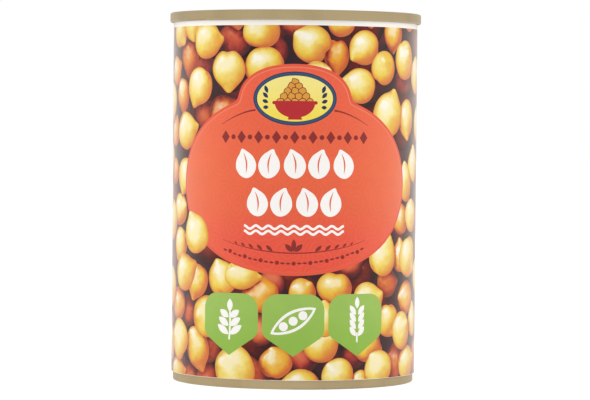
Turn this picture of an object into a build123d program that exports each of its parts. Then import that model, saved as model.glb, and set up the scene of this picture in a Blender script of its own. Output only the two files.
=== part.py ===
"""A round 400 g food can: a steel body with stiffening beads and a necked-in
base, two double-seamed ends, and a paper label glued round the body.

The can stands on its base rim. The origin is the centre of that rim's lowest
plane, +Z is up, and the label's glued overlap is at the back, on +Y. Lengths
are millimetres. The section of an end is drawn as (radius, depth), with depth
measured from the outer plane of its rim towards the middle of the can.
"""

import os
from math import degrees

from build123d import *

# Overall sizes
can_height = 110.0          # over both rims
body_diameter = 73.0        # outside of the steel wall

# Sheet
body_sheet = 0.20           # thickness of the wall's sheet
end_sheet = 0.22            # thickness of the ends' sheet

# Double seam: five layers of sheet, rolled together
seam_length = 2.90          # height of a rim
seam_gap = 0.085            # sealing compound between two layers
seam_overhang = 1.15        # how far the top rim stands out from the wall
rim_bend_radius = 0.40      # shoulders of a rim, at the middle of the sheet
hook_end_gap = 0.40         # from the tip of a hook to the fold it points into

# Ends: groove under the rim, then a panel with a raised ring between two steps
chuck_clearance = 0.10      # from the wall under the rim to the inside of the can
groove_depth = 3.60         # from the rim's plane to the bottom of the groove
groove_width = 1.30         # flat width of the groove, before its corners
groove_bend_radius = 0.42
panel_depth = 2.35          # the panel's outer ring, below the rim's plane
step_insets = (4.6, 10.2)   # from the groove to each step, outer step first
step_drop = 0.38
step_run = 0.70             # width over which a step drops
raised_ring_inset = 7.9     # from the groove to the middle of the raised ring
raised_ring_height = 0.30
raised_ring_width = 2.00
panel_bend_radius = 0.80

# Stacking: the base rim drops into the mouth of the top end
nest_clearance = 0.15

# Wall: it flares into the top seam and is necked in above the base seam
flare_inset = 0.10          # the flare starts this far inside the top seam
flare_height = 0.75
flare_bend_radius = 0.50
neck_clearance = 0.20       # from the base seam's upper edge to the neck
neck_height = 2.50
neck_bend_radius = 1.00
headspace = 0.30            # between the contents and the lowest of each end

# Stiffening beads, rolled into the middle of the wall
bead_count = 12
bead_pitch = 5.20
bead_depth = 0.42
bead_roller_radius = 1.90
bead_edge_radius = 1.20

# Label
paper = 0.10                # thickness
glue_line = 0.02            # between the label and the wall
label_rim_gap = 0.10        # from the label's upper edge to the top rim
label_hang = 0.25           # its lower edge hangs this far past the base rim's upper edge
lap_width = 9.0             # glued overlap
lap_ramp = 2.0              # width over which the overlap comes down

# Worked out from the sizes above
layer_pitch = (body_sheet + end_sheet) / 2 + seam_gap
seam_thickness = 4 * layer_pitch + end_sheet
wall_radius = body_diameter / 2
wall_middle = wall_radius - body_sheet / 2
top_rim_radius = wall_radius + seam_overhang
base_rim_radius = top_rim_radius - seam_thickness - nest_clearance
neck_foot = seam_length + neck_clearance
neck_head = neck_foot + neck_height
flare_foot = can_height - seam_length + flare_inset


def layer_radius(rim_radius, layer):
    """Radius at the middle of one layer of a seam, 0 outermost to 4 innermost."""
    return rim_radius - end_sheet / 2 - layer * layer_pitch


# Both ends are pressed with one chuck. Its wall leans in by this share of its
# depth, so that the top end clears the inside of the can where the flare stops.
chuck_limit = wall_radius - body_sheet - chuck_clearance - end_sheet / 2
chuck_inset = layer_radius(top_rim_radius, 4) - chuck_limit
chuck_lean = chuck_inset / (seam_length - flare_inset - end_sheet / 2)


def draw_end(rim_radius):
    """Draw an end's sheet, with its seam of this radius, as (radius, depth)."""
    half = end_sheet / 2
    outer = layer_radius(rim_radius, 0)
    chuck_top = layer_radius(rim_radius, 4)
    groove = groove_depth + half
    chuck_foot = chuck_top - groove_depth * chuck_lean
    panel_edge = chuck_foot - groove_width

    # Corners of the sheet's middle line from the centre outwards. A step's
    # corners are the foot and the head of its slope, and the raised ring's are
    # its two feet and its crest.
    outer_step = panel_edge - step_insets[0]
    inner_step = panel_edge - step_insets[1]
    ring = panel_edge - raised_ring_inset
    outer_panel = panel_depth + half
    middle_panel = outer_panel + step_drop
    centre_panel = middle_panel + step_drop
    panel = [
        (inner_step, centre_panel),
        (inner_step + step_run, middle_panel),
        (ring - raised_ring_width / 2, middle_panel),
        (ring, middle_panel - raised_ring_height),
        (ring + raised_ring_width / 2, middle_panel),
        (outer_step, middle_panel),
        (outer_step + step_run, outer_panel),
    ]
    groove_corners = [(panel_edge, outer_panel), (panel_edge, groove), (chuck_foot, groove)]
    rim = [(chuck_top, half), (outer, half)]
    bends = [panel_bend_radius] * len(panel)
    bends += [groove_bend_radius] * len(groove_corners)
    bends += [rim_bend_radius] * len(rim)

    with BuildLine() as middle_line:
        sheet = FilletPolyline(
            (0, centre_panel),
            *panel,
            *groove_corners,
            *rim,
            (outer, seam_length - half - layer_pitch),
            radius=bends,
        )
        fold = JernArc(sheet @ 1, sheet % 1, layer_pitch, 180)
        tip = end_sheet + seam_gap + body_sheet + hook_end_gap
        Line(fold @ 1, ((fold @ 1).X, tip))
    trace(middle_line.line, line_width=end_sheet)


def draw_wall():
    """Draw the body's sheet from its hook in one seam to its hook in the other."""
    base_layer = layer_radius(base_rim_radius, 3)
    top_layer = layer_radius(top_rim_radius, 3)
    fold_depth = end_sheet + seam_gap + body_sheet / 2 + layer_pitch
    tip = seam_length - end_sheet - hook_end_gap

    with BuildLine() as middle_line:
        sheet = FilletPolyline(
            (base_layer, fold_depth),
            (base_layer, neck_foot),
            (wall_middle, neck_head),
            (wall_middle, flare_foot),
            (top_layer, flare_foot + flare_height),
            (top_layer, can_height - fold_depth),
            radius=[neck_bend_radius] * 2 + [flare_bend_radius] * 2,
        )
        top_fold = JernArc(sheet @ 1, sheet % 1, layer_pitch, -180)
        Line(top_fold @ 1, ((top_fold @ 1).X, can_height - tip))
        base_fold = JernArc(sheet @ 0, sheet % 0 * -1, layer_pitch, 180)
        Line(base_fold @ 1, ((base_fold @ 1).X, tip))
    trace(middle_line.line, line_width=body_sheet)


def draw_contents():
    """Fill the wall up to its middle line, between the two ends."""
    with BuildLine() as outline:
        Polyline(
            (0, neck_foot),
            (layer_radius(base_rim_radius, 3), neck_foot),
            (wall_middle, neck_head),
            (wall_middle, can_height),
            (0, can_height),
            close=True,
        )
    make_face(outline.line)
    filled_height = can_height - 2 * (groove_depth + end_sheet + headspace)
    with Locations((0, can_height / 2)):
        Rectangle(2 * wall_radius, filled_height, mode=Mode.INTERSECT)


# The can is closed for good, so the body is solid between its ends.
with BuildPart() as can_body:
    with BuildSketch(Plane.XZ) as body_section:
        draw_contents()
        draw_wall()
        bead_band = bead_pitch * bead_count
        first_bead = (can_height - bead_band + bead_pitch) / 2
        roller_centre = wall_radius - bead_depth + bead_roller_radius
        for bead in range(bead_count):
            with Locations((roller_centre, first_bead + bead * bead_pitch)):
                Circle(bead_roller_radius, mode=Mode.SUBTRACT)
        bead_edges = body_section.vertices().filter_by_position(
            Axis.Y, (can_height - bead_band) / 2, (can_height + bead_band) / 2
        )
        fillet(bead_edges.group_by(Axis.X)[-1], radius=bead_edge_radius)
    revolve(axis=Axis.Z)

with BuildPart() as bottom_end:
    with BuildSketch(Plane.XZ):
        draw_end(base_rim_radius)
    revolve(axis=Axis.Z)

with BuildPart() as top_end:
    with BuildSketch(Plane(origin=(0, 0, can_height), x_dir=(1, 0, 0), z_dir=(0, 1, 0))):
        draw_end(top_rim_radius)
    revolve(axis=Axis.Z)

# The label is one strip whose end is glued over its start at the back.
label_inside = wall_radius + glue_line
label_outside = label_inside + paper
label_foot = seam_length - label_hang
label_head = can_height - seam_length - label_rim_gap
lap_angle = degrees(lap_width / label_outside)
ramp_angle = degrees(lap_ramp / label_outside)
lap_edge = 90 - lap_angle / 2
with BuildPart() as label:
    with BuildSketch(Plane.XY.offset(label_foot)):
        Circle(label_outside)
        Circle(label_inside, mode=Mode.SUBTRACT)
        with BuildLine():
            root = CenterArc((0, 0), label_inside + paper / 2, lap_edge, lap_angle + ramp_angle)
            top_layer = CenterArc((0, 0), label_outside + paper, lap_edge, lap_angle)
            Line(root @ 0, top_layer @ 0)
            Line(root @ 1, top_layer @ 1)
        make_face()
    extrude(amount=label_head - label_foot)

can_body.part.label = "can_body"
bottom_end.part.label = "bottom_end"
top_end.part.label = "top_end"
label.part.label = "label"

os.makedirs("parts", exist_ok=True)
export_step(can_body.part, "parts/can_body.step")
export_step(bottom_end.part, "parts/bottom_end.step")
export_step(top_end.part, "parts/top_end.step")
export_step(label.part, "parts/label.step")
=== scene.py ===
"""Finish of a labelled food can: two lacquered ends, a steel wall and a printed paper label.

Lengths are metres. The label's print alone is laid out flat, in millimetres, before it is wound
round the can: u runs along the label from the middle of its front, and v is height above the
plane the can stands on. The chickpeas in the print are modelled as a heap, seen from above on
the flat label, and the label's mesh has an edge along every outline that the heap shows.
"""

from math import cos, exp, pi, radians, sin, sqrt, tan

import bpy
import numpy as np
from mathutils import Euler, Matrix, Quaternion, Vector
from mathutils.bvhtree import BVHTree
from mathutils.geometry import delaunay_2d_cdt


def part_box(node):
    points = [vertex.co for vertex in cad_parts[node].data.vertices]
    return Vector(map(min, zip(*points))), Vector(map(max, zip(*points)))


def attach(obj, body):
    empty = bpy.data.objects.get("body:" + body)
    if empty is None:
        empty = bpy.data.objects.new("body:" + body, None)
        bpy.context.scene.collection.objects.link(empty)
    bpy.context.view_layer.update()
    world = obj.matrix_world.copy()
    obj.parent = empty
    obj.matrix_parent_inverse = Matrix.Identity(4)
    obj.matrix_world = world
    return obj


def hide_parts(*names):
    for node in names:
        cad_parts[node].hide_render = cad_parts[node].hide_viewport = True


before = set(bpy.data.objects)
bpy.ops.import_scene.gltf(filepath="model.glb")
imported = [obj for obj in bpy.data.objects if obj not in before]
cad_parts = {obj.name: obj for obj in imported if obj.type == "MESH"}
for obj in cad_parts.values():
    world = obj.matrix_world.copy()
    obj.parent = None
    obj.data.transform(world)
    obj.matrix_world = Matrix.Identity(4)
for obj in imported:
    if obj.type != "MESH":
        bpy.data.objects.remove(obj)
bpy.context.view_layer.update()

MM = 0.001

# The label: its place and radius are the frame's, its paper and overlap the part's
label_low, label_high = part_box("label")
label_radius = label_high.x
paper = 0.10 * MM
label_foot = label_low.z / MM
label_head = label_high.z / MM
label_length = 2 * pi * label_radius / MM
lap_width = 9.0                          # the glued overlap at the back, one paper further out
lap_ramp = 2.0                           # how far it takes to come down
label_start = -label_length / 2 - lap_width / 2
label_end = label_start + label_length

# The picture on the label
foot_line = 0.1                          # unprinted paper below it
head_margin = 1.5                        # and above it
picture_foot = label_foot + foot_line
picture_head = label_head - head_margin

# One chickpea, beak along +X
pea_half_length = 5.6
pea_half_width = 5.15
pea_half_height = 5.0
beak_reach = 0.24                        # shares of the pea's half sizes from here on
beak_width = 0.31
beak_hook = 0.15
cleft_depth = 0.20
cleft_width = 0.32
crease_depth = 0.05
crease_width = 0.13

# How the peas of the heap differ: from round to squarish, with a few broad shoulders
squareness = (2.0, 2.9)                  # power of the rounded box that a pea leans towards
shoulder_count = 3
shoulder_rise = (-0.03, 0.15)
shoulder_width = 0.22
shape_seed = 3
tone_seed = 7

# The scattered layers of the heap, nearest last: how far apart the peas are, and how deep
heap_layers = [
    {"Spacing": 11.6, "Depth": -14.0, "Jitter": 1.2, "Seed": 5},
    {"Spacing": 11.4, "Depth": -7.2, "Jitter": 1.4, "Seed": 11},
    {"Spacing": 10.5, "Depth": 0.0, "Jitter": 1.3, "Seed": 23},
]
heap_overhang = 8.0                      # the heap runs on past the label's edges

# The peas that show on the front of the can are listed one by one, and take the place of the
# scattered ones there: u, v, depth, the beak's direction and its lift towards the eye, the turn
# about its own length, length, width, and tone from golden to pale. A turn of 90 shows the cleft
# as a heart's notch.
laid_reach = 50.0                        # no scattered pea within this of the front's middle,
laid_clearance = 8.8                     # nor as near as this to a laid one,
laid_layers = -10.0                      # unless it lies deeper than this
laid_peas = (
    # above the plaque, from the left
    (-53.5, 83.5, 1.0, 160, 40, 40, 12.4, 12.0, 0.9),
    (-43.5, 104.5, 0.5, -60, 20, 30, 12.0, 11.4, 0.7),
    (-35.5, 106.2, 1.0, -90, 20, 0, 11.5, 11.0, 0.45),
    (-28.4, 101.2, 2.0, -4, 0, 20, 12.9, 11.2, 0.68),
    (-32.2, 87.4, 1.6, -118, 0, 25, 13.2, 11.0, 0.78),
    (-20.6, 92.3, 2.2, -88, 0, 90, 12.9, 11.8, 0.85),
    (-17.8, 108.4, -1.4, -90, 0, 20, 9.0, 9.0, 0.1),
    (-10.0, 104.6, 0.8, 60, 40, 20, 11.6, 11.4, 0.35),
    (-9.2, 93.3, 0.6, -75, 20, 0, 12.2, 12.2, 0.5),
    (4.4, 100.4, 1.8, 148, 22, 90, 12.8, 11.6, 0.5),
    (6.8, 89.8, 3.4, 30, 40, 0, 11.8, 11.6, 1.0),
    (14.0, 106.8, -0.4, -30, 40, 40, 9.8, 9.4, 0.4),
    (20.9, 99.0, 0.8, -148, 24, 30, 12.2, 10.4, 0.3),
    (19.6, 88.3, 1.4, 162, 0, 20, 12.6, 10.4, 0.58),
    (23.0, 110.0, 0.0, -90, 0, 0, 10.4, 10.0, 0.3),
    (28.8, 93.8, 2.6, 85, 60, 60, 11.6, 10.2, 0.42),
    (31.4, 80.4, 1.8, 64, 0, 20, 15.2, 13.0, 0.8),
    (33.2, 103.2, -2.2, -100, 0, 30, 11.5, 8.8, 0.0),
    (40.2, 96.2, 1.8, 30, 60, 0, 12.4, 12.0, 0.5),
    (41.2, 78.4, 0.4, -90, 20, 0, 13.4, 10.2, 0.45),
    (43.0, 109.6, 0.4, 0, 0, 0, 11.0, 10.4, 0.4),
    (50.5, 91.8, 0.9, 0, 40, 30, 12.2, 11.6, 0.75),
    (54.0, 77.5, 1.0, 20, 40, 0, 12.0, 11.4, 0.85),
    # beside the plaque
    (-38.5, 74.8, 1.5, 6, 0, 15, 13.2, 11.4, 0.75),
    (-39.0, 61.0, 0.6, -120, 20, 20, 12.4, 11.2, 0.7),
    (-55.5, 66.5, 1.0, 170, 40, 30, 12.0, 11.0, 0.9),
    (-42.5, 51.6, 0.3, 10, 40, 40, 11.6, 10.0, 0.3),
    (-52.0, 48.4, 1.5, 150, 40, 0, 13.2, 12.8, 0.85),
    (-42.6, 41.2, 0.8, -120, 0, 30, 11.2, 9.4, 0.6),
    (47.6, 65.6, 1.0, 85, 20, 20, 11.8, 10.4, 0.8),
    (40.4, 60.4, 0.2, 90, 20, 30, 13.4, 9.6, 0.5),
    (45.6, 50.6, 1.5, 80, 40, 30, 11.6, 10.4, 0.75),
    (43.6, 37.6, 2.0, -45, 20, 30, 13.6, 12.4, 0.65),
    # below the plaque
    (-53.0, 28.5, 1.4, 140, 40, 20, 13.6, 13.0, 0.85),
    (-39.0, 33.2, 1.9, 18, 0, 15, 13.6, 11.4, 0.65),
    (-32.4, 30.4, 0.7, -116, 0, 30, 11.8, 9.4, 0.15),
    (-43.3, 13.2, 1.6, 160, 40, 50, 13.4, 12.4, 0.85),
    (-44.0, 3.6, 0.2, 0, 0, 20, 12.6, 8.4, 0.1),
    (-32.2, 10.9, -0.6, -72, 0, 20, 15.2, 10.4, 0.02),
    (-28.6, 20.5, 1.0, 170, 50, 40, 12.8, 12.4, 0.6),
    (-22.4, 32.4, 1.0, 106, 10, 60, 11.8, 10.2, 0.7),
    (-15.4, 32.8, 2.0, -8, 0, 30, 12.8, 8.0, 0.66),
    (-9.6, 27.2, -3.4, -60, 20, 0, 12.4, 11.4, 0.0),
    (-18.4, 6.0, 2.0, 150, 40, 30, 14.4, 14.0, 0.85),
    (-5.2, 8.2, -2.4, 100, 30, 50, 10.4, 10.0, 0.1),
    (2.8, 28.4, -2.4, 40, 30, 20, 8.8, 8.6, 0.1),
    (2.0, 1.0, -0.6, 170, 10, 30, 12.8, 10.6, 0.1),
    (12.1, 29.1, -1.6, -98, 0, 90, 10.8, 11.4, 0.05),
    (8.6, 13.2, 0.2, 30, 30, 0, 11.8, 10.6, 0.25),
    (8.8, 20.4, 0.1, 80, 0, 20, 11.4, 10.0, 0.85),
    (13.2, 4.6, 1.4, 130, 30, 30, 10.6, 10.2, 0.6),
    (21.2, 1.8, -0.6, 0, 0, 0, 8.0, 7.8, 0.15),
    (23.4, 12.6, -0.6, -20, 0, 20, 11.8, 10.2, 0.05),
    (27.4, 6.2, 2.0, 120, 30, 30, 11.8, 11.2, 0.9),
    (23.6, 25.4, 1.5, 15, 20, 30, 12.8, 12.0, 0.6),
    (29.4, 38.6, 1.4, 62, 0, 20, 13.4, 11.4, 0.6),
    (37.8, 38.6, -1.6, 90, 0, 20, 10.8, 8.6, 0.3),
    (31.8, 19.2, 0.4, -60, 20, 40, 10.8, 10.4, 0.3),
    (39.4, 16.6, 2.0, 20, 40, 20, 11.6, 11.4, 0.62),
    (43.2, 6.6, 0.2, 10, 0, 20, 13.4, 10.4, 0.4),
    (48.2, 19.2, 0.0, 90, 0, 30, 11.4, 8.8, 0.85),
    (54.0, 32.0, 0.6, 0, 0, 0, 12.0, 11.0, 0.8),
    # sunk between the others
    (-47.0, 92.6, -4.0, 20, 0, 0, 10.4, 9.0, 0.6),
    (-37.2, 96.4, -5.6, -100, 0, 20, 12.4, 9.8, 0.3),
    (-41.4, 85.2, -4.0, -90, 0, 20, 11.4, 8.8, 0.5),
    (-48.2, 74.8, -4.2, 60, 0, 20, 10.4, 9.0, 0.6),
    (-47.6, 62.8, -4.2, 0, 0, 0, 9.0, 8.0, 0.4),
    (-18.4, 101.4, -8.6, 80, 0, 0, 12.6, 11.6, 0.2),
    (-22.0, 80.4, -6.6, 30, 0, 20, 11.4, 10.4, 0.5),
    (-29.6, 79.6, -8.0, 0, 0, 0, 9.0, 8.6, 0.3),
    (1.0, 106.5, -8.0, 0, 0, 20, 12.0, 9.4, 0.3),
    (12.2, 96.2, -3.4, -90, 0, 90, 11.4, 8.0, 0.5),
    (39.0, 89.4, -8.0, 0, 0, 20, 12.0, 8.0, 0.2),
    (-44.4, 23.6, -3.6, 170, 0, 20, 12.0, 10.2, 0.5),
    (-6.6, 31.0, -9.4, 90, 0, 20, 9.6, 8.6, 0.3),
    (-36.6, 21.6, -7.4, 90, 0, 0, 10.0, 8.6, 0.3),
    (-9.6, 17.4, -8.0, 90, 0, 20, 11.0, 9.0, 0.3),
    (-27.0, 12.2, -7.6, 90, 0, 20, 12.0, 9.0, 0.3),
    (38.0, 49.4, -3.6, 100, 0, 20, 10.4, 9.0, 0.5),
    (31.4, 30.6, -6.2, 0, 0, 20, 10.4, 8.8, 0.4),
    (41.6, 26.0, -3.4, 170, 30, 20, 11.6, 10.2, 0.6),
    (35.4, 8.0, -6.2, 80, 0, 20, 12.0, 9.4, 0.3),
    (-30.6, 94.0, -8.4, 0, 0, 20, 10.4, 9.4, 0.3),
    (-6.0, 98.4, -9.0, 90, 0, 20, 10.4, 8.4, 0.3),
    (-36.4, 2.4, -7.6, 0, 0, 20, 11.6, 9.4, 0.3),
    (-27.6, 2.8, -8.2, 0, 0, 20, 10.4, 9.4, 0.3),
    (-11.8, 4.6, -8.0, 90, 0, 20, 10.4, 9.4, 0.3),
    (2.8, 8.4, -8.8, 0, 0, 20, 10.4, 8.6, 0.3),
    (18.6, 10.0, -8.8, 60, 0, 20, 9.0, 8.0, 0.3),
    (17.6, 36.6, -8.6, 20, 0, 20, 9.4, 8.4, 0.3),
)
laid_variety = 0.5                       # they vary less than the scattered ones
over_pea = (-33.4, 45.0, 9.0, 110, -8, 25, 13.8, 11.4, 1.0)    # lies over the plaque's edge

# The size and tilt of the scattered peas
shared_sizes = {
    "Width": label_length + 2 * heap_overhang,
    "Height": label_head - label_foot + 2 * heap_overhang,
    "Tilt": radians(38),
    "Smallest": 0.94,
    "Largest": 1.20,
}

# The light on the heap: a pale sky, and a key from the upper left
light_rays = 32
light_spread = 0.96                      # of a half sphere, as none comes in level
light_reach = 40.0                       # nothing further off throws a shadow
key_light = Vector((-0.38, 0.50, 0.78)).normalized()
key_strength = 3
key_sharpness = 3
sky_share = 0.42

# The mesh of the print
outline_points = 48
pea_rings = ((0.0, 1), (0.28, 6), (0.52, 12), (0.74, 18), (0.90, 28))    # (reach, points)
bend_step = (1.5, 3.0)                   # grid that lets wide fields follow the can
edge_step = 1.2
inner_step = 4.0
ray_start = 60.0                         # above the highest pea
ray_lift = 0.06                          # a ray of light starts this far off the skin
corner_pull = 0.985                      # samples keep this far inside their pea's outline
merge_distance = 0.005
sliver = 0.0002                          # triangles thinner than this at the border are dropped


def srgb(red, green, blue):
    """A colour written in 0 to 255 display values, as the linear RGBA that nodes take."""
    shares = [value / 255 for value in (red, green, blue)]
    linear = [s / 12.92 if s <= 0.04045 else ((s + 0.055) / 1.055) ** 2.4 for s in shares]
    return (*linear, 1.0)


def add(tree, kind, inputs=None, **settings):
    """Add a node. Each input, by name or index, takes a value or another node's output."""
    made = tree.nodes.new(kind)
    for name, value in settings.items():
        setattr(made, name, value)
    for name, value in (inputs or {}).items():
        if isinstance(value, bpy.types.NodeSocket):
            tree.links.new(value, made.inputs[name])
        else:
            made.inputs[name].default_value = value
    return made


def maths(tree, operation, *values):
    return add(tree, "ShaderNodeMath", dict(enumerate(values)), operation=operation).outputs[0]


def times(tree, one, other):
    return maths(tree, "MULTIPLY", one, other)


def vectors(tree, operation, *values):
    made = add(tree, "ShaderNodeVectorMath", dict(enumerate(values)), operation=operation)
    return made.outputs["Value" if operation in ("DOT_PRODUCT", "LENGTH") else "Vector"]


def rescaled(tree, value, start, end, low=0.0, high=1.0, smooth=True):
    kind = "SMOOTHSTEP" if smooth else "LINEAR"
    inputs = {"Value": value, "From Min": start, "From Max": end, "To Min": low, "To Max": high}
    return add(tree, "ShaderNodeMapRange", inputs, interpolation_type=kind).outputs["Result"]


def mixed(tree, share, one, other, blend="MIX"):
    inputs = {0: share, 6: one, 7: other}
    return add(tree, "ShaderNodeMix", inputs, data_type="RGBA", blend_type=blend).outputs[2]


def ramp(tree, value, stops):
    """A colour ramp with these (place, colour) stops."""
    made = add(tree, "ShaderNodeValToRGB", {"Fac": value})
    elements = made.color_ramp.elements
    for place, colour in stops[1:-1]:
        elements.new(place).color = colour
    for element, (place, colour) in ((elements[0], stops[0]), (elements[-1], stops[-1])):
        element.position = place
        element.color = colour
    return made.outputs["Color"]


def noise(tree, vector, scale, detail=2.0, roughness=0.5, output="Fac"):
    inputs = {"Vector": vector, "Scale": scale, "Detail": detail, "Roughness": roughness}
    return add(tree, "ShaderNodeTexNoise", inputs).outputs[output]


def split(tree, vector):
    """The X, Y and Z of a vector."""
    return add(tree, "ShaderNodeSeparateXYZ", {0: vector}).outputs


def joined(tree, *parts):
    return add(tree, "ShaderNodeCombineXYZ", dict(enumerate(parts))).outputs[0]


def new_tree(name, kind, inputs, outputs):
    """A node group with these named sockets: (its tree, what it is given, what it puts out)."""
    tree = bpy.data.node_groups.new(name, kind)
    for in_out, sockets in (("INPUT", inputs), ("OUTPUT", outputs)):
        for socket, holds in sockets.items():
            tree.interface.new_socket(socket, in_out=in_out, socket_type="NodeSocket" + holds)
    given = tree.nodes.new("NodeGroupInput").outputs
    return tree, given, tree.nodes.new("NodeGroupOutput").inputs


def new_material(name, **surface):
    """A material, its tree and its Principled shader, whose plain values are given."""
    material = bpy.data.materials.new(name)
    material.use_nodes = True
    tree = material.node_tree
    shader = tree.nodes["Principled BSDF"]
    for socket, value in surface.items():
        shader.inputs[socket.replace("_", " ")].default_value = value
    return material, tree, shader


def new_object(name, data):
    made = bpy.data.objects.new(name, data)
    bpy.context.scene.collection.objects.link(made)
    return made


# ---------------------------------------------------------------- the modelled heap


def chickpea_form(turn, spin):
    """A point of the chickpea: turn from the beak's tip to the rear, spin round its length."""
    x = cos(turn)
    y = sin(turn) * cos(spin)
    z = sin(turn) * sin(spin)
    beak = exp(-((turn / beak_width) ** 2))
    rear = max(0.0, -x)
    cleft = exp(-((z / cleft_width) ** 2)) * rear * cleft_depth
    crease = exp(-((z / crease_width) ** 2)) * max(0.0, y) * crease_depth
    size = 1 - cleft - crease
    return (
        (x * size + beak_reach * beak) * pea_half_length,
        (y * size + beak_hook * beak) * pea_half_width,
        z * size * pea_half_height,
    )


def chickpea_mesh(rings=22, segments=30):
    """The chickpea as a closed mesh of triangles."""
    points = [chickpea_form(0, 0)]
    for ring in range(1, rings):
        points += [chickpea_form(pi * ring / rings, 2 * pi * i / segments) for i in range(segments)]
    points.append(chickpea_form(pi, 0))
    last = len(points) - 1
    faces = []
    for i in range(segments):
        j = (i + 1) % segments
        faces.append((0, 1 + i, 1 + j))
        faces.append((last, last - segments + j, last - segments + i))
        for ring in range(rings - 2):
            near, far = 1 + ring * segments, 1 + (ring + 1) * segments
            faces.append((near + i, far + i, far + j))
            faces.append((near + i, far + j, near + j))
    mesh = bpy.data.meshes.new("chickpea_form")
    mesh.from_pydata(points, [], faces)
    return mesh


def scattered_points(tree, given):
    """Random points over the label, each moved up or down by as much as the layer's jitter."""
    sheet = add(tree, "GeometryNodeMeshGrid", {
        "Size X": given["Width"],
        "Size Y": given["Height"],
        "Vertices X": 2,
        "Vertices Y": 2,
    })
    places = add(tree, "GeometryNodeDistributePointsOnFaces", {
        "Mesh": sheet.outputs["Mesh"],
        "Distance Min": given["Spacing"],
        "Density Max": 1.0,
        "Seed": given["Seed"],
    }, distribute_method="POISSON")
    lowest = maths(tree, "SUBTRACT", given["Depth"], given["Jitter"])
    highest = maths(tree, "ADD", given["Depth"], given["Jitter"])
    depth = random_vector(tree, given, joined(tree, 0, 0, lowest), joined(tree, 0, 0, highest))
    inputs = {"Geometry": places.outputs["Points"], "Offset": depth}
    return add(tree, "GeometryNodeSetPosition", inputs).outputs[0]


def random_vector(tree, given, low, high):
    inputs = {0: low, 1: high, 8: given["Seed"]}
    return add(tree, "FunctionNodeRandomValue", inputs, data_type="FLOAT_VECTOR").outputs[0]


def layer_group():
    """Geometry Nodes group: one layer of the heap, with peas scattered and turned at random."""
    inputs = {"Chickpea": "Geometry", "Seed": "Int"}
    inputs |= dict.fromkeys([*shared_sizes, "Spacing", "Depth", "Jitter"], "Float")
    tree, given, result = new_tree(
        "chickpea_layer", "GeometryNodeTree", inputs, {"Layer": "Geometry"}
    )
    tilt = given["Tilt"]
    lowest = joined(tree, 0, times(tree, tilt, -1.0), 0)
    highest = joined(tree, 2 * pi, tilt, 2 * pi)
    inputs = {2: given["Smallest"], 3: given["Largest"], 8: given["Seed"]}
    scale = add(tree, "FunctionNodeRandomValue", inputs, data_type="FLOAT")
    peas = add(tree, "GeometryNodeInstanceOnPoints", {
        "Points": scattered_points(tree, given),
        "Instance": given["Chickpea"],
        "Rotation": random_vector(tree, given, lowest, highest),
        "Scale": scale.outputs[1],
    })
    tree.links.new(peas.outputs[0], result["Layer"])
    return tree


def heap_modifier_tree(ink):
    """Geometry Nodes tree: the whole heap, from one chickpea, as one real mesh."""
    inputs = {"Geometry": "Geometry"} | dict.fromkeys(shared_sizes, "Float")
    tree, given, result = new_tree(
        "chickpea_heap", "GeometryNodeTree", inputs, {"Heap": "Geometry"}
    )
    heap = tree.nodes.new("GeometryNodeJoinGeometry")
    group = layer_group()
    for layer_sizes in reversed(heap_layers):
        shared = {name: given[name] for name in shared_sizes}
        inputs = {"Chickpea": given["Geometry"]} | shared | layer_sizes
        layer = add(tree, "GeometryNodeGroup", inputs, node_tree=group)
        tree.links.new(layer.outputs["Layer"], heap.inputs["Geometry"])
    real = add(tree, "GeometryNodeRealizeInstances", {"Geometry": heap.outputs[0]})
    inked = add(tree, "GeometryNodeSetMaterial", {"Geometry": real.outputs[0], "Material": ink})
    tree.links.new(inked.outputs[0], result["Heap"])
    return tree


def unit(rows):
    return rows / np.linalg.norm(rows, axis=-1, keepdims=True)


def face_edges(faces):
    return np.concatenate([faces[:, [0, 1]], faces[:, [1, 2]], faces[:, [2, 0]]])


def face_normals(corners):
    """The normal of each triangle, as long as twice its area."""
    return np.cross(corners[:, 1] - corners[:, 0], corners[:, 2] - corners[:, 0])


def varied(peas, variety):
    """Each pea of the heap given a shape of its own, about its own middle."""
    random = np.random.default_rng(shape_seed)
    count = len(peas)
    spokes = peas - peas.mean(axis=1, keepdims=True)
    ways = unit(spokes)
    axes = np.linalg.qr(random.normal(size=(count, 3, 3)))[0]
    power = random.uniform(*squareness, (count, 1, 1))
    swell = (np.abs(ways @ axes) ** power).sum(axis=2, keepdims=True) ** (-1 / power)
    for _ in range(shoulder_count):
        shoulder = unit(random.normal(size=(count, 1, 3)))
        aside = 1 - (ways * shoulder).sum(axis=2, keepdims=True)
        rise = random.uniform(*shoulder_rise, (count, 1, 1))
        swell += rise * np.exp(-((aside / shoulder_width) ** 2))
    swell /= swell.mean(axis=1, keepdims=True)
    return peas + spokes * (swell - 1) * variety[:, None, None]


def laid_pea(form, u, v, depth, direction, lift, turn, length, width, _):
    """One pea of the given form, laid in the picture as listed."""
    along = length / (2 + beak_reach) / pea_half_length
    size = Vector((along, width / 2 / pea_half_width, width / 2 / pea_half_width))
    middle = Vector((beak_reach / 2 * pea_half_length, 0, 0))
    turned = Euler((radians(turn), -radians(lift), radians(direction))).to_matrix()
    return [turned @ ((point - middle) * size) + Vector((u, v, depth)) for point in form]


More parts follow.
